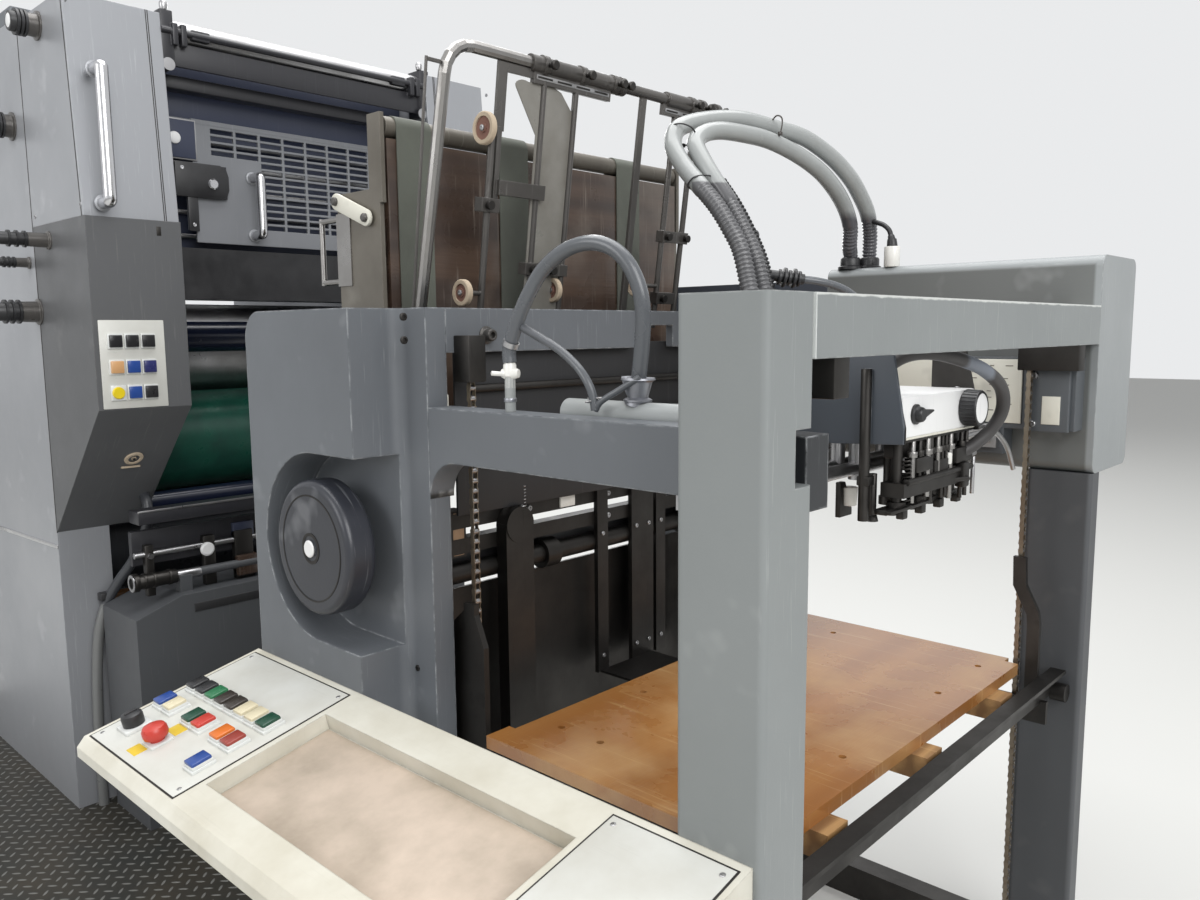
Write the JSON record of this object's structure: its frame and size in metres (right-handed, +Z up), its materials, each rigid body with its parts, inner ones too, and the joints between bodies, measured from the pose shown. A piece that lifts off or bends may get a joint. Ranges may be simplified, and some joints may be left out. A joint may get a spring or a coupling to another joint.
{
  "type": "offset printing press",
  "caption": "Sheet-fed offset printing press with pile feeder, raised feed table, one printing unit and chain delivery.",
  "frame": {"origin": "on the floor at the centre of the printing unit base", "axes": "+X from the delivery to the feeder, +Y from the operator side to the drive side, +Z up"},
  "size_m": [5.75, 1.875, 2.42],
  "materials": {
    "grey_casting": "satin hammered grey paint, worn at the edges",
    "dark_grey_paint": "dark grey paint with oil film",
    "light_panel": "light silver grey paint",
    "cream_paint": "cream powder coat, scuffed",
    "black_plastic": "moulded black plastic",
    "button_plastic": "coloured lamp buttons in clear bezels",
    "bright_steel": "ground steel",
    "dark_steel": "black oiled steel",
    "chrome_bar": "polished",
    "pile_wood": "varnished plywood, scratched",
    "skid_wood": "raw hardwood",
    "table_metal": "light brownish grey paint",
    "table_board": "brown oiled board",
    "tape_fabric": "woven green tape",
    "green_blanket": "green rubber blanket",
    "ink_rubber": "inked rubber rollers",
    "felt": "tan brush felt",
    "hose_rubber": "grey ribbed hose",
    "tread_plate": "chequered plate, worn"
  },
  "bodies": {
    "root": {"near_column": "grey_casting", "far_column": "dark_grey_paint", "rear_crossbar": "grey_casting", "near_side_rail": "grey_casting", "far_side_rail": "dark_grey_paint", "gear_housing": "grey_casting", "far_front_column": "dark_grey_paint", "front_cross_plate": "grey_casting", "feeder_sills": "dark_steel", "drive_housing": "grey_casting", "console_tray": "cream_paint", "console_brackets": "dark_grey_paint", "console_buttons": "button_plastic", "hoist_chains": "dark_steel", "head_rods": "bright_steel", "suction_head": "cream_paint", "suckers": "dark_steel", "scale_plate": "cream_paint", "air_pipe": "light_panel", "guide_bars": "dark_steel", "near_side_frame": "light_panel", "far_side_frame": "light_panel", "near_control_cover": "dark_grey_paint", "far_control_cover": "dark_grey_paint", "near_upper_cover": "light_panel", "far_upper_cover": "light_panel", "unit_buttons": "button_plastic", "unit_base": "dark_grey_paint", "ink_rollers": "ink_rubber", "top_cover": "grey_casting", "tie_tube": "bright_steel", "guard_beam": "black_plastic", "infeed_box": "dark_grey_paint", "footboard": "tread_plate", "delivery_near_frame": "grey_casting", "delivery_far_frame": "grey_casting", "delivery_hood": "grey_casting", "delivery_grippers": "bright_steel", "delivery_pile": "pile_wood", "bundle_hose_a": "hose_rubber", "bundle_hose_b": "hose_rubber", "loop_hose": "hose_rubber", "head_hose": "hose_rubber", "unit_hose": "hose_rubber"},
    "handwheel": {"handwheel": "black_plastic"},
    "pile": {"pile_board": "pile_wood", "pile_skids": "skid_wood", "pile_carriage": "dark_steel"},
    "setting_knob": {"setting_knob": "black_plastic"},
    "table": {"feed_table": "table_board", "table_frame": "table_metal", "table_tapes": "tape_fabric", "table_handle": "chrome_bar", "hold_down_frame": "bright_steel", "hold_down_tube": "chrome_bar", "hold_down_wheels": "felt"},
    "blanket": {"blanket_cylinder": "green_blanket"},
    "plate": {"plate_cylinder": "bright_steel"},
    "impression": {"impression_cylinder": "bright_steel"},
    "guard": {"grille_guard": "grey_casting"}
  },
  "joints": [
    {"name": "handwheel_turn", "type": "hinge", "parent": "root", "child": "handwheel", "pos_m": [2.097, -0.685, 1.102], "axis": [0, 1, 0], "continuous": true},
    {"name": "pile_hoist", "type": "slide", "parent": "root", "child": "pile", "axis": [0, 0, 1], "range_m": [-0.55, 0.25]},
    {"name": "setting_knob_turn", "type": "hinge", "parent": "root", "child": "setting_knob", "pos_m": [3.012, 0.105, 1.362], "axis": [1, 0, 0], "continuous": true},
    {"name": "feed_table_tilt", "type": "hinge", "parent": "root", "child": "table", "pos_m": [2.06, 0, 1.225], "axis": [0, -1, 0], "range_deg": [0, 88]},
    {"name": "blanket_turn", "type": "hinge", "parent": "root", "child": "blanket", "pos_m": [0.43, 0, 1.15], "axis": [0, 1, 0], "continuous": true},
    {"name": "plate_turn", "type": "hinge", "parent": "root", "child": "plate", "pos_m": [0.29011, 0, 1.44999], "axis": [0, 1, 0], "continuous": true},
    {"name": "impression_turn", "type": "hinge", "parent": "root", "child": "impression", "pos_m": [0.37252, 0, 0.82403], "axis": [0, 1, 0], "continuous": true},
    {"name": "grille_guard_swing", "type": "hinge", "parent": "root", "child": "guard", "pos_m": [0.89, 0, 2.118], "axis": [0, -1, 0], "range_deg": [0, 60]}
  ],
  "couplings": [
    {"joint": "plate_turn", "follows": "blanket_turn", "ratio": -1},
    {"joint": "impression_turn", "follows": "blanket_turn", "ratio": -1}
  ]
}
